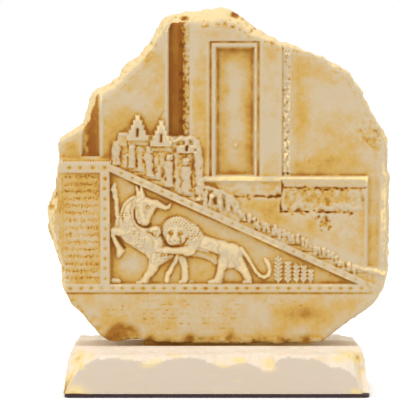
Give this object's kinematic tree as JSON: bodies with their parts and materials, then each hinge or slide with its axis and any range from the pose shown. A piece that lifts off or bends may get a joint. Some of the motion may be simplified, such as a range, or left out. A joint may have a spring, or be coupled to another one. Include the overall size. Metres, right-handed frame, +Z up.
{
  "type": "carved relief plaque on plinth",
  "caption": "Cast relief slab with a broken edge, carved with stairs, guards, a door and a lion seizing a bull, standing in a grooved bar plinth.",
  "frame": {"origin": "centre of the underside of the felt, where the piece stands", "axes": "+Z up, +X to the viewer's right along the plinth, +Y away from the viewer, the carved face looking to -Y"},
  "size_m": [0.1901, 0.056, 0.2171],
  "materials": {
    "cast_slab": "matte",
    "cast_plinth": "matte",
    "felt": "matte"
  },
  "bodies": {
    "root": {"relief_slab": "cast_slab", "plinth": "cast_plinth", "felt_pad": "felt"}
  },
  "joints": []
}
